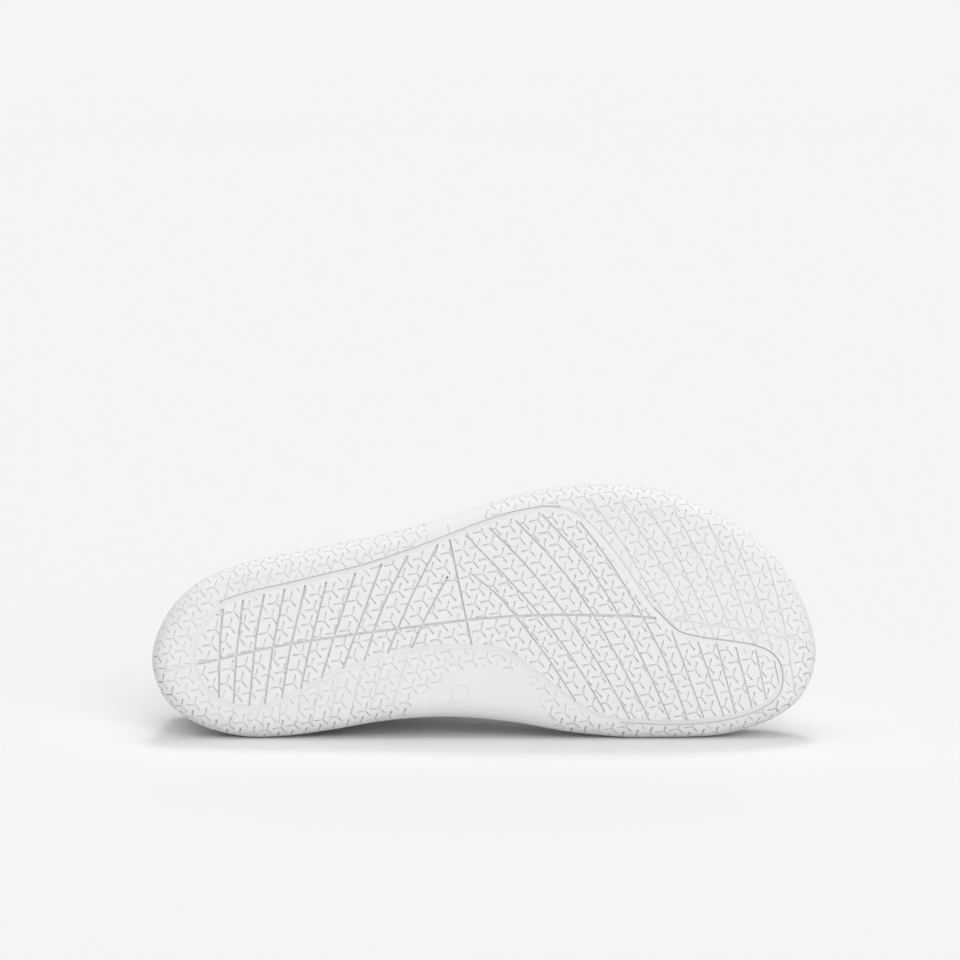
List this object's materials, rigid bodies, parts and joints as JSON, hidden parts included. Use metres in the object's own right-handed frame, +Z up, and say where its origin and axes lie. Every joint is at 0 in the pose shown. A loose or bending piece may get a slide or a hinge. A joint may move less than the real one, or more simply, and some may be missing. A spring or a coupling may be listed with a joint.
{
  "type": "barefoot shoe",
  "caption": "Flat slip-on barefoot shoe for the right foot, lying on its side with its patterned white rubber sole to the front.",
  "frame": {"origin": "middle of the box on the floor that the shoe lies on", "axes": "+X from heel to toe, +Y from the sole towards the collar, +Z up, from the medial side on the floor to the lateral side"},
  "size_m": [0.258, 0.085, 0.0979],
  "materials": {
    "outsole": "matt moulded off-white rubber with a soft sheen",
    "insole": "light grey textile over thin foam",
    "upper": "fine off-white knit",
    "collar_cuff": "ribbed off-white knit",
    "heel_counter": "smooth off-white microfibre, stitched round its edge"
  },
  "bodies": {
    "root": {"outsole": "outsole", "insole": "insole", "upper": "upper", "collar_cuff": "collar_cuff", "heel_counter": "heel_counter"}
  },
  "joints": []
}
